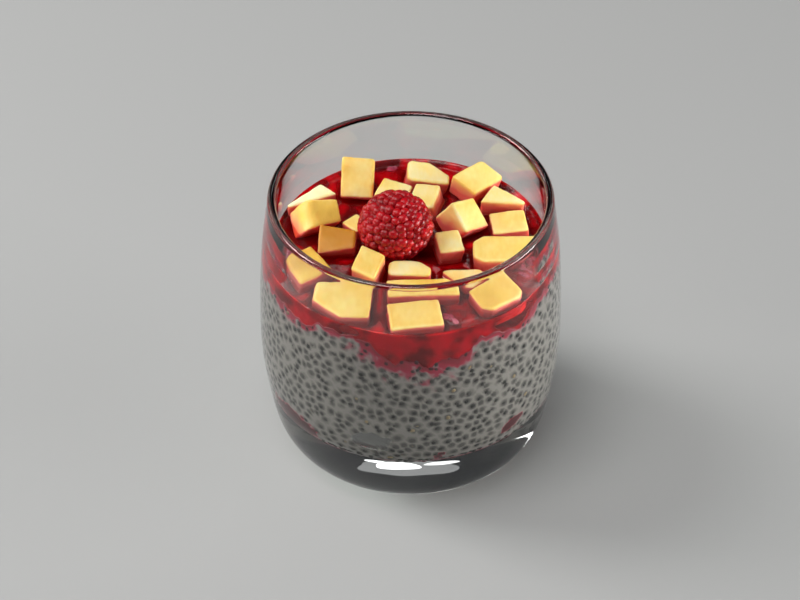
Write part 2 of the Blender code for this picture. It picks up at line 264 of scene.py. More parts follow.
# It is spun with a flat top first, whose points then move up or down to the ragged one. A point
# that is within a hair of a level is on it.
FLOOR_EDGE = 35.2
SIDE_START = 20.5
SIDE_END = 60.0
FLOOR_RINGS = 24
SIDE_RINGS = 92
TOP_RINGS = 44
HAIR = 0.01
floor_line = [(radius, floor_at(radius) - REACH) for radius in np.linspace(0, FLOOR_EDGE, FLOOR_RINGS)]
side_heights = np.linspace(SIDE_START, SIDE_END, SIDE_RINGS)
side_line = [(float(wall_at(height)) + REACH, height) for height in side_heights]
top_line = [(radius, SIDE_END) for radius in np.linspace(WALL_RADIUS + REACH, 0, TOP_RINGS)[1:]]
pudding = spin_profile("pudding", [*floor_line, *side_line, *top_line], PUDDING_FACETS)

points = points_of(pudding)
radii = np.hypot(points[:, 0], points[:, 1])
on_top = points[:, 2] > SIDE_END - HAIR
on_side = (points[:, 2] > SIDE_START + HAIR) & ~on_top
share = (points[:, 2] - SIDE_START) / (SIDE_END - SIDE_START)
edge = pudding_edge(points)
heights = np.where(on_side, SIDE_START + (edge - SIDE_START) * share, points[:, 2])
heights = np.where(on_top, pudding_top(points), heights)
wanted = np.where(on_side, wall_at(heights) + REACH, radii)
points = lay_out(points, wanted, heights)

# A pocket of air that the spoon left against the wall, low at the front left, and spots of juice
# that ran down the wall. Each is (degrees from the front, height, half width, half height, slant).
POCKET_DEPTH = 0.8
AIR_POCKET = (-16.0, 25.9, 5.4, 3.7, 0.0)
JUICE_SPOTS = [(45.0, 24.2, 2.9, 2.2, 0.9), (11.5, 19.5, 1.1, 1.2, 0.0), (13.3, 21.4, 1.0, 0.8, 0.0),
               (-57.0, 20.8, 9.5, 4.0, 0.0), (150.0, 24.0, 2.4, 1.4, 0.4)]


def from_spot(points, spot):
    """How far points lie from a spot on the wall: 0 in its middle and 1 on its edge."""
    turn, height, half_width, half_height, slant = spot
    across = np.radians(from_front(points) - turn) * WALL_RADIUS
    upward = points[:, 2] - height
    return np.hypot((across - slant * upward) / half_width, upward / half_height)


hollow = (1 - ease(from_spot(points, AIR_POCKET) + 0.3 * noise_at(points, 1.8, 4.0), 0.85, 0.97)) * on_side
points[:, :2] *= (1 - POCKET_DEPTH * hollow / np.maximum(wanted, 1.0))[:, None]
put_points(pudding, points)

# Black chia seeds about 2 mm long, a few of them pale, each pressed against the wall by the gel. One
# seed is shaped, and then set again and again in staggered rows, knocked out of line.
SEED_LENGTH = 2.0
SEED_WIDTH = 1.45
SEED_DEPTH = 1.1
SEED_ROWS = 2.45
SEED_SPACING = 2.7
LOWEST_SEEDS = 19.0
HIGHEST_SEEDS = 63.5
FLOOR_SEEDS = (2.0, 34.0)
# They keep this far below the edge and off the spots, and are sunk into the gel this deep or deeper
BELOW_EDGE = 0.5
OFF_SPOTS = 1.1
LEAST_SUNK = 0.2
SUNK_RANGE = 0.26
PALE_SHARE = 0.025
dice = np.random.default_rng(11)


def seed_places():
    """(place, outward direction) of each seed round the side and on the floor."""
    places = []
    for row, height in enumerate(np.arange(LOWEST_SEEDS, HIGHEST_SEEDS, SEED_ROWS)):
        radius = float(wall_at(height))
        count = round(2 * math.pi * radius / SEED_SPACING)
        for step in range(count):
            turn = 2 * math.pi * (step + 0.5 * (row % 2)) / count + dice.normal(0, 0.75) / radius
            level = height + dice.normal(0, 0.68)
            outward = Vector((math.sin(turn), -math.cos(turn), 0.0))
            spot = outward * float(wall_at(level)) + Vector((0, 0, level))
            if level < float(pudding_edge(np.array([spot]))[0]) - BELOW_EDGE:
                places.append((spot, outward))
    for ring in np.arange(*FLOOR_SEEDS, SEED_ROWS):
        for step in range(round(2 * math.pi * ring / SEED_SPACING)):
            turn = step * SEED_SPACING / ring + dice.normal(0, 0.3) / ring
            spot = Vector((ring * math.sin(turn), -ring * math.cos(turn), 0.0))
            spot.z = floor_at(ring)
            places.append((spot, Vector((0, 0, -1))))
    return places


bpy.ops.object.select_all(action="DESELECT")
bpy.ops.mesh.primitive_uv_sphere_add(segments=7, ring_count=5, radius=0.5 * MM)
one_seed = bpy.context.object
bpy.ops.object.mode_set(mode="EDIT")
bpy.ops.mesh.select_all(action="SELECT")
bpy.ops.transform.resize(value=(SEED_WIDTH, SEED_DEPTH, SEED_LENGTH), center_override=(0, 0, 0))
bpy.ops.object.mode_set(mode="OBJECT")


def scatter(name, shape, places):
    """One mesh of many copies of shape. places is (matrix in mm, tone) for each copy."""
    template = points_of(shape)
    sides = [tuple(face.vertices) for face in shape.data.polygons]
    spots, faces, tones = [], [], []
    for matrix, tone in places:
        first = len(spots) * len(template)
        turned = np.array(matrix.to_3x3()) @ template.T
        spots.append(turned.T + np.array(matrix.translation))
        faces += [tuple(first + corner for corner in side) for side in sides]
        tones += [tone] * len(template)
    mesh = bpy.data.meshes.new(name)
    mesh.from_pydata(np.concatenate(spots) * MM, [], faces)
    mesh.shade_smooth()
    piece = bpy.data.objects.new(name, mesh)
    bpy.context.collection.objects.link(piece)
    store(piece, "tone", tones)
    return piece


seed_turns = []
seed_tones = []
for spot, outward in seed_places():
    if min(from_spot(np.array([spot]), other)[0] for other in [AIR_POCKET, *JUICE_SPOTS]) < OFF_SPOTS:
        continue
    deep = dice.random() ** 1.5
    facing = outward.to_track_quat("Y", "Z").to_matrix().to_4x4()
    roll = Matrix.Rotation(dice.uniform(0, math.pi), 4, "Y")
    tilt = Matrix.Rotation(dice.normal(0, 0.3), 4, "X")
    middle = Matrix.Translation(spot - outward * (LEAST_SUNK + SUNK_RANGE * deep))
    form = Matrix.Diagonal((dice.uniform(0.9, 1.12), 1.0, dice.uniform(0.82, 1.08), 1))
    seed_turns.append(middle @ facing @ roll @ tilt @ form)
    if dice.random() < PALE_SHARE:
        seed_tones.append(dice.uniform(0.75, 0.95))
    else:
        seed_tones.append(0.6 * deep + dice.uniform(-0.08, 0.08))
seeds = scatter("chia_seeds", one_seed, zip(seed_turns, seed_tones))
bpy.data.objects.remove(one_seed)

# The gel is clearest right round a seed and milkiest along the lines between seeds
CLEAR_ROUND_SEED = 0.7
MILKY_FROM_SEED = 1.45


def find_among(places):
    """A tree that finds the nearest of these places."""
    found = kdtree.KDTree(len(places))
    for number, place in enumerate(places):
        found.insert(place, number)
    found.balance()
    return found


near_seeds = find_among([matrix.translation for matrix in seed_turns])
nearest = np.array([[near[2] for near in near_seeds.find_n(Vector(point), 2)] for point in points])
between = nearest[:, 1] - nearest[:, 0]
milk = 0.55 * ease(nearest[:, 0], CLEAR_ROUND_SEED, MILKY_FROM_SEED) + 0.45 * (1 - ease(between, 0.1, 0.8))
# In the air pocket the gel is set below its clearest grey: painted shade in the hollow.
store(pudding, "milk", milk * (1 - hollow) - 0.5 * hollow)

# Berry juice has bled a few millimetres into the gel along its edge, furthest at the front, and has
# pooled in patches under it
POOL_TOP = 18.0
below_edge = edge - points[:, 2]
bleed = np.maximum(2.2 + 3.4 * noise_at(points, 3.0, 6.0) + 1.4 * noise_at(points, 1.0, 7.0), 0.1)
bleed *= 2.4 - 1.2 * ease(np.abs(from_front(points)), 14.0, 32.0)
juice = (1 - ease(below_edge, 0.1, 0.4 + bleed)) * 0.8
for spot in JUICE_SPOTS:
    near = from_spot(points, spot) + 0.35 * noise_at(points, 1.3, 8.0)
    juice = np.maximum(juice, 1.6 * (1 - ease(near, 0.85, 1.05)))
pooled = ease(noise_at(points, 9.0, 3.0), -0.1, 0.15)
juice = np.maximum(juice, 1.6 * pooled * (1 - ease(points[:, 2], POOL_TOP - 1.5, POOL_TOP)) * ~on_side)
juice = np.where(on_top & (radii < WALL_RADIUS - 0.5), 0.6, juice)
store(pudding, "juice", juice)
near_gel = find_among(points)
seed_juice = [juice[near_gel.find(matrix.translation)[1]] for matrix in seed_turns]
store(seeds, "juice", np.repeat(seed_juice, len(seeds.data.vertices) // len(seed_turns)))

# Milk set to a gel by the seeds: a soft, wet white, greyer where the gel is clear, and magenta to
# dark red where juice has soaked in. In the air pocket it is painted darkest grey, as painted shade.
# It is a little see-through, so light goes in and blurs.
MILK_CLOUD = 9.0
gel, tree, shader, output = new_material("chia_milk_gel", {
    "Roughness": 0.35, "Subsurface Weight": 0.25, "Subsurface Radius": (1.0, 0.9, 0.8),
    "Subsurface Scale": 0.9 * MM})
milkiness = add_node(tree, "ShaderNodeAttribute", {"attribute_name": "milk"})
stained = add_node(tree, "ShaderNodeAttribute", {"attribute_name": "juice"})
place = add_node(tree, "ShaderNodeTexCoord")
clouds = add_node(tree, "ShaderNodeTexNoise", {"Scale": 1 / (MILK_CLOUD * MM), "Detail": 3.0},
                  {"Vector": place.outputs["Object"]})
uneven = add_node(tree, "ShaderNodeMath", {"operation": "MULTIPLY_ADD", 1: 0.5, 2: -0.25},
                  {0: clouds.outputs["Fac"]})
cloudy = add_node(tree, "ShaderNodeMath", {"operation": "ADD", "use_clamp": True},
                  {0: milkiness.outputs["Fac"], 1: uneven.outputs[0]})
white = add_node(tree, "ShaderNodeValToRGB", links={"Fac": cloudy.outputs[0]},
                 stops=[(0.05, "#4A4743"), (0.85, "#8E8982")])
red = add_node(tree, "ShaderNodeValToRGB", links={"Fac": stained.outputs["Fac"]},
               stops=[(0.0, "#B03C60"), (0.3, "#A81440"), (0.65, "#900826"), (1.0, "#4A000C")])
soaked = add_node(tree, "ShaderNodeMath", {"operation": "MULTIPLY", 1: 2.0, "use_clamp": True},
                  {0: stained.outputs["Fac"]})
dyed = add_node(tree, "ShaderNodeMix", {"data_type": "RGBA"},
                {0: soaked.outputs[0], 6: white.outputs["Color"], 7: red.outputs["Color"]})
tree.links.new(dyed.outputs[2], shader.inputs["Base Color"])
pudding.data.materials.append(gel)
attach(pudding, "root")
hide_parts("chia_pudding")

# The seeds' coats are mottled dark grey, look paler the more gel lies over them, and are maroon
# where juice has reached them. The mottling is drawn coarser than the real one, so that it shows.
MOTTLE = 0.45
coat, tree, shader, output = new_material("chia_seed_coat", {
    "Roughness": 0.6, "Specular IOR Level": 0.1})
tone = add_node(tree, "ShaderNodeAttribute", {"attribute_name": "tone"})
place = add_node(tree, "ShaderNodeTexCoord")
mottle = add_node(tree, "ShaderNodeTexNoise", {"Scale": 1 / (MOTTLE * MM), "Detail": 1.0},
                  {"Vector": place.outputs["Object"]})
mixed = add_node(tree, "ShaderNodeMath", {"operation": "MULTIPLY_ADD", 1: 0.22}, {
    0: mottle.outputs["Fac"], 2: tone.outputs["Fac"]})
shade = add_node(tree, "ShaderNodeValToRGB", links={"Fac": mixed.outputs[0]},
                 stops=[(0.0, "#201F1F"), (0.62, "#5A5754"), (1.0, "#9A8768")])
stained = add_node(tree, "ShaderNodeAttribute", {"attribute_name": "juice"})
dyed = add_node(tree, "ShaderNodeMix", {"data_type": "RGBA", 7: linear("#4A0A18")},
                {0: stained.outputs["Fac"], 6: shade.outputs["Color"]})
tree.links.new(dyed.outputs[2], shader.inputs["Base Color"])
seeds.data.materials.append(coat)
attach(seeds, "root")


# The mango
# Ripe mango cut into dice by hand, so no two are alike. The knife leaves flat, slightly fibrous
# faces with crisp edges that have gone soft, and the pieces drink up juice where they lie in sauce.
SAUCE_LEVEL = 65.3
MANGO_COUNT = 22
SKIN_STEP = 0.36
# How much darker and more orange than most each piece is, by its number; piece 14's is partly
# painted shade
PIECE_TONE = {1: 0.1, 5: 0.2, 10: 0.1, 13: 0.1, 14: 0.75, 16: 0.25, 17: -0.25, 18: 0.36, 19: 0.14, 20: 0.16,
            21: 0.1, 22: 0.14}
# How far above the sauce the juice has climbed, how far above that the sides still get painted
# shade, and the strongest that stain and painted shade reach together
CLIMB = {1: 3.0, 4: 3.4, 5: 3.0, 7: 4.0, 9: 5.0, 14: 3.6, 16: 4.0, 18: 3.2, 20: 2.2, 21: 1.8, 22: 1.8}
USUAL_CLIMB = 2.6
SIDE_SHADE_REACH = 6.0
STRONGEST_STAIN_AND_SHADE = 0.64


def work_on(piece):
    """Makes the piece the only one that an operator acts on."""
    bpy.ops.object.select_all(action="DESELECT")
    piece.select_set(True)
    bpy.context.view_layer.objects.active = piece


def copy_of_solid(node, name):
    """A copy of a solid, with its loose triangles merged."""
    piece = bpy.data.objects.new(name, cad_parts[node].data.copy())
    bpy.context.collection.objects.link(piece)
    piece.data.materials.clear()
    work_on(piece)
    bpy.ops.object.mode_set(mode="EDIT")
    bpy.ops.mesh.select_all(action="SELECT")
    bpy.ops.mesh.remove_doubles(threshold=0.005 * MM)
    bpy.ops.mesh.normals_make_consistent(inside=False)
    bpy.ops.object.mode_set(mode="OBJECT")
    return piece


def apply_all(piece):
    """Applies the piece's modifiers, first to last."""
    work_on(piece)
    for modifier in list(piece.modifiers):
        bpy.ops.object.modifier_apply(modifier=modifier.name)


def normals_of(piece):
    """The outward direction at each point of the mesh."""
    normals = np.empty(len(piece.data.vertices) * 3)
    piece.data.vertices.foreach_get("normal", normals)
    return normals.reshape(-1, 3)


# Cut mango flesh: soft yellow in paler and deeper patches, wet and a little see-through, with fine
# fibres, which are drawn coarser than the real ones to show. Juice turns it orange-pink and then red.
# Its sides also carry painted shade, darker and more orange, reaching higher than the juice does.
FIBRE_WIDTH = 1.1
PATCH_SIZE = 10.0
flesh, tree, shader, output = new_material("cut_mango_flesh", {
    "Roughness": 0.45, "Specular IOR Level": 0.3, "Subsurface Weight": 0.45,
    "Subsurface Radius": (1.0, 0.55, 0.25), "Subsurface Scale": 2.0 * MM})
place = add_node(tree, "ShaderNodeTexCoord")
tone = add_node(tree, "ShaderNodeAttribute", {"attribute_name": "tone"})
stained = add_node(tree, "ShaderNodeAttribute", {"attribute_name": "juice"})
stretch = add_node(tree, "ShaderNodeMapping", {"Scale": (1.0, 0.35, 1.0)},
                   {"Vector": place.outputs["Object"]})
fibres = add_node(tree, "ShaderNodeTexNoise", {"Scale": 1 / (FIBRE_WIDTH * MM), "Detail": 3.0},
                  {"Vector": stretch.outputs[0]})
patches = add_node(tree, "ShaderNodeTexNoise", {"Scale": 1 / (PATCH_SIZE * MM), "Detail": 1.0},
                   {"Vector": place.outputs["Object"]})
grain = add_node(tree, "ShaderNodeMath", {"operation": "MULTIPLY_ADD", 1: 0.2}, {
    0: fibres.outputs["Fac"], 2: tone.outputs["Fac"]})
ripe = add_node(tree, "ShaderNodeMath", {"operation": "MULTIPLY_ADD", 1: 0.6, "use_clamp": True}, {
    0: patches.outputs["Fac"], 2: grain.outputs[0]})
yellow = add_node(tree, "ShaderNodeValToRGB", links={"Fac": ripe.outputs[0]},
                  stops=[(0.1, "#F8E8B8"), (0.34, "#F8DB88"), (0.56, "#F0C45A"), (1.0, "#C4821E")])
red = add_node(tree, "ShaderNodeValToRGB", links={"Fac": stained.outputs["Fac"]},
               stops=[(0.0, "#F0B45E"), (0.3, "#F0A068"), (0.6, "#E2645A"), (1.0, "#C8201E")])
soaked = add_node(tree, "ShaderNodeMath", {"operation": "MULTIPLY", 1: 2.4, "use_clamp": True},
                  {0: stained.outputs["Fac"]})
skin = add_node(tree, "ShaderNodeMix", {"data_type": "RGBA"},
                {0: soaked.outputs[0], 6: yellow.outputs["Color"], 7: red.outputs["Color"]})
tree.links.new(skin.outputs[2], shader.inputs["Base Color"])
relief = add_node(tree, "ShaderNodeBump", {"Strength": 0.2, "Distance": 0.15 * MM},
                  {"Height": fibres.outputs["Fac"]})
tree.links.new(relief.outputs["Normal"], shader.inputs["Normal"])

mango = []
for number in range(1, MANGO_COUNT + 1):
    node = f"mango_{number:02d}"
    piece = copy_of_solid(node, f"mango_dice_{number:02d}")
    remesh = piece.modifiers.new("even_faces", "REMESH")
    remesh.mode = "VOXEL"
    remesh.voxel_size = SKIN_STEP * MM
    soften = piece.modifiers.new("soften", "SMOOTH")
    soften.factor = 0.5
    soften.iterations = 5
    apply_all(piece)
    points = points_of(piece)
    normals = normals_of(piece)
    dents = 0.2 * noise_at(points, 4.2, number) + 0.07 * noise_at(points * (1, 0.5, 1), 1.3, number)
    put_points(piece, points + normals * dents[:, None])
    piece.data.shade_smooth()
    face_tone = 0.2 * noise_at(normals * 2, 1.0, number + 60)
    climb = CLIMB.get(number, USUAL_CLIMB)
    above = points[:, 2] - SAUCE_LEVEL
    wavy = climb * (1 + 0.7 * noise_at(points, 3.0, number + 30))
    # Faces turned sideways or down get painted shade, darker and more orange as if lit red by the sauce
    # below, to a few millimetres above it. It is stored with the juice stain and in the tone.
    side = ease(-normals[:, 2], -0.8, 0.0)
    stain_and_shade = 0.44 * (1 - ease(above, -0.3, 0.6 + np.maximum(wavy, 0.3))) * (0.5 + 0.5 * side)
    stain_and_shade += 0.66 * side * (1 - ease(above, 0.0, SIDE_SHADE_REACH + climb))
    stain_and_shade = np.clip(stain_and_shade * (0.55 + 0.45 * ease(above, -1.2, 0.2)), 0, STRONGEST_STAIN_AND_SHADE)
    store(piece, "juice", stain_and_shade)
    store(piece, "tone", PIECE_TONE.get(number, 0.0) - 0.08 + 0.12 * side + face_tone)
    piece.data.materials.append(flesh)
    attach(piece, "root")
    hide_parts(node)
    mango.append(piece)


# The berry sauce
# Raspberries cooked down with sugar and sieved: a clear, thick, deep red juice. It lies level, and
# creeps up a little where it meets the glass and the fruit. It also reaches just into the wall.
SAUCE_REACH = 0.09
INTO_PUDDING = 0.25
GLASS_CREEP = 0.8
GLASS_CREEP_LENGTH = 0.9
FRUIT_CREEP = 0.55
FRUIT_CREEP_LENGTH = 0.55
SAUCE_FACETS = 480
UNDER_RINGS = 22
WALL_RINGS = 12
LEVEL_RINGS = 112
sauce_wall = float(wall_at(SAUCE_LEVEL)) + SAUCE_REACH

# It is spun as a plain drum first, whose underside then moves to the pudding's top and whose upper
# side moves to the sauce's level
DRUM_UNDER = 50.0
DRUM_SIDE = 58.0
DRUM_TOP = 66.0
under_line = [(radius, DRUM_UNDER) for radius in np.linspace(0, WALL_RADIUS + SAUCE_REACH, UNDER_RINGS)]
wall_heights = np.linspace(DRUM_SIDE, DRUM_TOP, WALL_RINGS)
upper_line = [(float(wall_at(height)) + SAUCE_REACH, height) for height in wall_heights]
level_line = [(radius, DRUM_TOP) for radius in np.linspace(sauce_wall, 0, LEVEL_RINGS)[1:]]
sauce = spin_profile("sauce", [*under_line, *upper_line, *level_line], SAUCE_FACETS)
points = points_of(sauce)
radii = np.hypot(points[:, 0], points[:, 1])
under = points[:, 2] < DRUM_UNDER + HAIR
level = points[:, 2] > DRUM_TOP - HAIR

# How far each point of its level is from the nearest fruit
FAR_OFF = 9.0
corners, faces = [], []
for piece in mango:
    first = len(corners)
    corners += [vertex.co / MM for vertex in piece.data.vertices]
    faces += [[first + corner for corner in face.vertices] for face in piece.data.polygons]
fruit_skin = bvhtree.BVHTree.FromPolygons(corners, faces)
at_level = np.stack([points[:, 0], points[:, 1], np.full(len(points), SAUCE_LEVEL)], axis=1)
to_fruit = np.array([
    fruit_skin.find_nearest(Vector(point))[3] if on_level else FAR_OFF
    for point, on_level in zip(at_level, level)
])

creep = GLASS_CREEP * np.exp(-(sauce_wall - radii) / GLASS_CREEP_LENGTH)
creep += FRUIT_CREEP * np.exp(-to_fruit / FRUIT_CREEP_LENGTH)
ripples = 0.05 * noise_at(at_level, 7.0, 12.0) + 0.012 * noise_at(at_level, 1.6, 13.0)
lowest = pudding_top(points) - INTO_PUDDING
share = (points[:, 2] - DRUM_SIDE) / (DRUM_TOP - DRUM_SIDE)
rim_level = SAUCE_LEVEL + GLASS_CREEP
heights = np.where(under, lowest, lowest + (rim_level - lowest) * share)
heights = np.where(level, SAUCE_LEVEL + np.minimum(creep, GLASS_CREEP) + ripples, heights)
points = lay_out(points, np.where(under | level, radii, wall_at(heights) + SAUCE_REACH), heights)
put_points(sauce, points)

# The pulp hangs in clouds. The juice is clear round the fruit, so that its wet sides glow through, and
# cloudy on the glass but for two places where fruit leans on it, which are given as the spots of juice
# on the pudding are.
CLEAR_SPOTS = [(46.0, 62.6, 7.0, 3.0, 0.0), (-25.0, 64.2, 2.8, 1.6, 0.0)]
on_glass = ~level & ~under
cloud = 0.46 * ease(to_fruit, 0.3, 2.8) * (1 + noise_at(points, 4.5, 15.0))
lean = np.min([from_spot(points, spot) for spot in CLEAR_SPOTS], axis=0)
cloud = np.where(on_glass, 0.25 + 0.6 * ease(lean, 0.7, 1.3) + 0.3 * noise_at(points, 3.5, 16.0), cloud)
store(sauce, "cloud", np.clip(cloud, 0.0, 0.95))

# Clear red juice: water-like, with an IOR of 1.37 from its sugar. A few millimetres of it take out
# most green and blue, so it is pink where thin and deep red where thick. Fine pulp makes it cloudy.
PULP_CLOUD = 6.6


def juice_material(name, shine, palest):
    """Juice whose pulp has this much shine, and this colour where it is palest."""
    material, tree, shader, output = new_material(name, {
        "Base Color": linear("#F6A0A0"), "Transmission Weight": 1.0, "Roughness": 0.03, "IOR": 1.37})
    place = add_node(tree, "ShaderNodeTexCoord")
    cloudy = add_node(tree, "ShaderNodeAttribute", {"attribute_name": "cloud"})
    thick = add_node(tree, "ShaderNodeTexNoise", {"Scale": 1 / (PULP_CLOUD * MM), "Detail": 2.0},
                     {"Vector": place.outputs["Object"]})
    depths = add_node(tree, "ShaderNodeValToRGB", links={"Fac": thick.outputs["Fac"]},
                      stops=[(0.4, "#6A0206"), (0.6, palest)])
    pulp = add_node(tree, "ShaderNodeBsdfPrincipled", {
        "Roughness": 0.12, "Specular IOR Level": shine, "Subsurface Weight": 0.8,
        "Subsurface Radius": (1.0, 0.1, 0.12), "Subsurface Scale": 3.0 * MM,
    }, {"Base Color": depths.outputs["Color"]})
    wet = add_node(tree, "ShaderNodeMixShader", links={
        0: cloudy.outputs["Fac"], 1: shader.outputs[0], 2: pulp.outputs[0]})
    lamps = add_node(tree, "ShaderNodeLightPath")
    let_through = add_node(tree, "ShaderNodeBsdfTransparent", {"Color": linear("#FAF0F0")})
    both = add_node(tree, "ShaderNodeMixShader", links={
        0: lamps.outputs["Is Shadow Ray"], 1: wet.outputs[0], 2: let_through.outputs[0]})
    tree.links.new(both.outputs[0], output.inputs["Surface"])
    depth = add_node(tree, "ShaderNodeVolumeAbsorption", {"Color": (0.92, 0.0, 0.1, 1.0), "Density": 450.0})
    tree.links.new(depth.outputs[0], output.inputs["Volume"])
    return material


# Open to the air its pulp is glossy. Where it wets the glass, no gap is left to reflect.
sauce.data.materials.append(juice_material("berry_juice", 0.35, "#E60818"))
sauce.data.materials.append(juice_material("berry_juice_on_glass", 0.0, "#B80214"))
for face in sauce.data.polygons:
    face.material_index = int(all(on_glass[corner] for corner in face.vertices))
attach(sauce, "root")
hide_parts("berry_sauce")

# Scraps of berry that came through the sieve: clear pink sacs, crushed and floating in the sauce.
# (x, y, size) in mm, for each heap of them
SCRAP_HEAPS = [(35.0, -7.3, 2.2), (31.5, -12.6, 1.8), (10.8, -31.6, 1.7), (-35.2, -5.2, 2.0),
               (-35.6, -1.0, 1.8), (-5.6, 34.2, 1.6), (14.5, 12.5, 0.9), (2.0, 33.0, 1.1),
               (-30.5, 12.0, 1.0)]
SACS_IN_HEAP = 5
bpy.ops.object.select_all(action="DESELECT")
bpy.ops.mesh.primitive_ico_sphere_add(subdivisions=3, radius=0.5 * MM)
one_sac = bpy.context.object
points = points_of(one_sac)
put_points(one_sac, points * (1 + 0.3 * noise_at(points, 0.6, 21.0))[:, None])
sac_turns = []
for across, along, size in SCRAP_HEAPS:
    for _ in range(SACS_IN_HEAP):
        offset = Vector((dice.normal(0, 0.55), dice.normal(0, 0.55), 0)) * size
        spot = Vector((across, along, SAUCE_LEVEL - 0.2 * size)) + offset
        if spot.xy.length > sauce_wall - 0.7 * size or fruit_skin.find_nearest(spot)[3] < 0.35 * size:
            continue
        turn = (Matrix.Rotation(dice.uniform(0, math.pi), 4, "Z")
                @ Matrix.Rotation(dice.normal(0, 0.5), 4, "X"))
        form = Matrix.Diagonal((dice.uniform(1.1, 1.7), dice.uniform(0.8, 1.2), dice.uniform(0.6, 0.9), 1))
        sac_turns.append((Matrix.Translation(spot) @ turn @ form @ Matrix.Scale(size, 4), dice.random()))
scraps = scatter("berry_scraps", one_sac, sac_turns)
bpy.data.objects.remove(one_sac)

# The sacs' thin skin is wet and lets light through, and differs from scrap to scrap in how pink it is
sac_skin, tree, shader, output = new_material("crushed_berry_sacs", {
    "Roughness": 0.2, "Transmission Weight": 0.35, "IOR": 1.37, "Subsurface Weight": 0.5,
    "Subsurface Radius": (1.0, 0.3, 0.3), "Subsurface Scale": 0.8 * MM})
tone = add_node(tree, "ShaderNodeAttribute", {"attribute_name": "tone"})
shade = add_node(tree, "ShaderNodeValToRGB", links={"Fac": tone.outputs["Fac"]},
                 stops=[(0.0, "#B4284A"), (1.0, "#DC7C8C")])
tree.links.new(shade.outputs["Color"], shader.inputs["Base Color"])
scraps.data.materials.append(sac_skin)
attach(scraps, "root")


# The raspberry
# One fresh raspberry, tip up. Its juicy drupelets crowd round a core in staggered rows, each with a
# small scar where its style was, and a faint white bloom.
BERRY_PLACE = Vector((-4.2, 0.0, 72.3))
BERRY_RADIUS = 9.35
BERRY_HALF_HEIGHT = 8.5
TAPER = 0.07
BERRY_BASE = 64.6
DRUPELET_RADIUS = 1.5
DRUPELET_SPACING = 2.35
ROW_SPACING = 2.0
SCAR_DEPTH = 0.12
bpy.ops.object.select_all(action="DESELECT")
bpy.ops.mesh.primitive_uv_sphere_add(segments=16, ring_count=12, radius=DRUPELET_RADIUS * MM)
one_drupelet = bpy.context.object
points = points_of(one_drupelet)
points[points[:, 2] > DRUPELET_RADIUS - 0.05, 2] -= SCAR_DEPTH
put_points(one_drupelet, points)
lowest = math.asin((BERRY_BASE - BERRY_PLACE.z) / BERRY_HALF_HEIGHT) + 0.1
rows = round((math.pi / 2 - lowest) * BERRY_HALF_HEIGHT / ROW_SPACING)
drupelets = []
for row in range(rows + 1):
    slope = lowest + (math.pi / 2 - lowest) * row / rows
    around = max(round(2 * math.pi * BERRY_RADIUS * math.cos(slope) / DRUPELET_SPACING), 1)
    for step in range(around):
        angle = 2 * math.pi * (step + 0.5 * (row % 2) + dice.normal(0, 0.12)) / around
        here = slope + dice.normal(0, 0.045)
        out = Vector((math.cos(here) * math.cos(angle), math.cos(here) * math.sin(angle), math.sin(here)))
        radius = BERRY_RADIUS * (1 - TAPER * max(out.z, 0))
        spot = Vector((out.x * radius, out.y * radius, out.z * BERRY_HALF_HEIGHT))
        facing = out.to_track_quat("Z", "Y").to_matrix().to_4x4()
        size = dice.uniform(0.88, 1.06)
        form = Matrix.Diagonal((size * dice.uniform(0.98, 1.2), size * dice.uniform(0.92, 1.04), size, 1))
        middle = Matrix.Translation(BERRY_PLACE + spot * dice.uniform(0.96, 1.0))
        drupelets.append((middle @ facing @ form, dice.uniform(0.0, 1.0)))
raspberry = scatter("raspberry_drupelets", one_drupelet, drupelets)
bpy.data.objects.remove(one_drupelet)
bpy.ops.object.select_all(action="DESELECT")
bpy.ops.mesh.primitive_uv_sphere_add(
    segments=40, ring_count=24, radius=BERRY_RADIUS * MM, location=BERRY_PLACE * MM)
berry_core = bpy.context.object
berry_core.name = berry_core.data.name = "raspberry_core"
bpy.ops.object.mode_set(mode="EDIT")
bpy.ops.mesh.select_all(action="SELECT")
bpy.ops.transform.resize(value=(1, 1, BERRY_HALF_HEIGHT / BERRY_RADIUS))
bpy.ops.mesh.bisect(plane_co=(0, 0, BERRY_BASE * MM), plane_no=(0, 0, -1), clear_outer=True, use_fill=True)
bpy.ops.object.mode_set(mode="OBJECT")
bpy.ops.object.transform_apply(location=True, rotation=True, scale=True)
bpy.ops.object.shade_smooth()

# The thin, juicy skin is deep red, differs from drupelet to drupelet, and has a soft gloss. The bloom
# lies on it in patches.
BLOOM_PATCH = 2.4
berry_skin, tree, shader, output = new_material("raspberry_skin", {
    "Roughness": 0.32, "Specular IOR Level": 0.4, "Subsurface Weight": 0.35,
    "Subsurface Radius": (1.0, 0.15, 0.1), "Subsurface Scale": 1.0 * MM})
tone = add_node(tree, "ShaderNodeAttribute", {"attribute_name": "tone"})
place = add_node(tree, "ShaderNodeTexCoord")
dust = add_node(tree, "ShaderNodeTexNoise", {"Scale": 1 / (BLOOM_PATCH * MM), "Detail": 4.0},
                {"Vector": place.outputs["Object"]})
base = add_node(tree, "ShaderNodeValToRGB", links={"Fac": tone.outputs["Fac"]},
                stops=[(0.0, "#90040E"), (1.0, "#C20A18")])
bloom = add_node(tree, "ShaderNodeMapRange", {1: 0.5, 2: 0.85, 3: 0.0, 4: 0.14}, {0: dust.outputs["Fac"]})
dusty = add_node(tree, "ShaderNodeMix", {"data_type": "RGBA", 7: linear("#B8606C")},
                 {0: bloom.outputs[0], 6: base.outputs["Color"]})
tree.links.new(dusty.outputs[2], shader.inputs["Base Color"])
for piece in (raspberry, berry_core):
    piece.data.materials.append(berry_skin)
    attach(piece, "root")
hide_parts("raspberry")


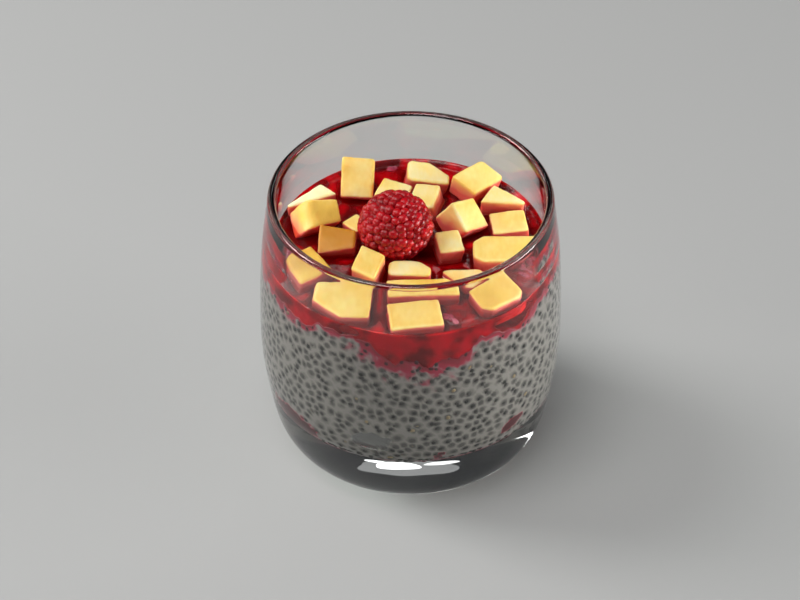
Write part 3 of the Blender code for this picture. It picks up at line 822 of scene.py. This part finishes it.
# The studio
# A plain pale floor under soft boxes, and a camera in front of the tumbler that looks down on it.
# The floor is matt paper, a hair below the foot.
FLOOR_SIZE = 3.0
FLOOR_DROP = 0.05
bpy.ops.object.select_all(action="DESELECT")
bpy.ops.mesh.primitive_plane_add(size=FLOOR_SIZE, location=(0, 0, -FLOOR_DROP * MM))
floor = bpy.context.object
floor.name = "floor"
paper, tree, shader, output = new_material("pale_paper", {
    "Base Color": linear("#BABAB8"), "Roughness": 0.8})
floor.data.materials.append(paper)

# Dark walls under a pale ceiling, so that the glass has something to bend
world = bpy.data.worlds.new("studio")
bpy.context.scene.world = world
world.use_nodes = True
tree = world.node_tree
place = add_node(tree, "ShaderNodeTexCoord")
height = add_node(tree, "ShaderNodeSeparateXYZ", links={0: place.outputs["Generated"]})
walls = add_node(tree, "ShaderNodeValToRGB", links={"Fac": height.outputs["Z"]},
                 stops=[(0.0, "#34363A"), (0.74, "#2C2E31"), (0.9, "#B4B8BE"), (1.0, "#F4F6FA")])
tree.links.new(walls.outputs["Color"], tree.nodes["Background"].inputs["Color"])
tree.nodes["Background"].inputs["Strength"].default_value = 0.5

# Large lamps light the food. The narrow ones behind, and the dim wide one, are what shows as glints
# in the thick base.
LAMPS_FACE = Vector((0, 0, 0.05))


def soft_box(name, place, width, height, power, shape="RECTANGLE"):
    """A flat lamp that faces the tumbler, with its sizes in metres and its power in watts."""
    lamp = bpy.data.lights.new(name, "AREA")
    lamp.shape = shape
    lamp.size = width
    lamp.size_y = height
    lamp.energy = power
    holder = bpy.data.objects.new(name, lamp)
    holder.location = place
    holder.rotation_euler = (LAMPS_FACE - Vector(place)).to_track_quat("-Z", "Y").to_euler()
    bpy.context.collection.objects.link(holder)


soft_box("overhead", (-0.2, -0.2, 1.0), 0.5, 0.5, 4.4)
soft_box("left_window", (-0.77, 0.24, 0.8), 0.36, 0.5, 6.0)
soft_box("right_side", (0.95, -0.1, 0.15), 0.6, 0.28, 7.4)
soft_box("left_side", (-0.95, -0.3, 0.15), 0.4, 0.28, 1.6)
soft_box("left_strip", (-0.75, 0.58, 0.5), 0.3, 0.08, 0.5)
soft_box("back_strip", (0.06, 0.81, 0.755), 0.24, 0.04, 0.055, "ELLIPSE")
soft_box("strip_start", (0.19, 0.79, 0.775), 0.12, 0.018, 0.011, "ELLIPSE")
soft_box("strip_end", (-0.17, 0.79, 0.77), 0.2, 0.016, 0.011, "ELLIPSE")
soft_box("back_glow", (0.01, 0.86, 0.805), 0.6, 0.085, 0.035, "ELLIPSE")

# The camera looks a little past the tumbler, up and to the left, so that the tumbler's middle lies a
# few pixels right of the picture's middle and below it
CAMERA_TILT = math.radians(40.33)
CAMERA_DISTANCE = 1.0
PICTURE_WIDTH = 800
FOCAL_PIXELS = 3529.0
PIXELS_RIGHT = 10.6
PIXELS_BELOW = 13.6
SENSOR_WIDTH = 36.0
TUMBLER_MIDDLE = 40.0
ahead = Vector((0, math.cos(CAMERA_TILT), -math.sin(CAMERA_TILT)))
upright = Vector((0, math.sin(CAMERA_TILT), math.cos(CAMERA_TILT)))
middle = Vector((0, 0, TUMBLER_MIDDLE * MM))
lens = bpy.data.cameras.new("camera")
lens.sensor_width = SENSOR_WIDTH
lens.lens = FOCAL_PIXELS * SENSOR_WIDTH / PICTURE_WIDTH
camera = bpy.data.objects.new("camera", lens)
camera.location = middle - ahead * CAMERA_DISTANCE
past = upright * PIXELS_BELOW - Vector((PIXELS_RIGHT, 0, 0))
shown_at = middle + past * CAMERA_DISTANCE / FOCAL_PIXELS
camera.rotation_euler = (shown_at - camera.location).to_track_quat("-Z", "Y").to_euler()
bpy.context.collection.objects.link(camera)
bpy.context.scene.camera = camera
bpy.context.scene.view_settings.view_transform = "Standard"
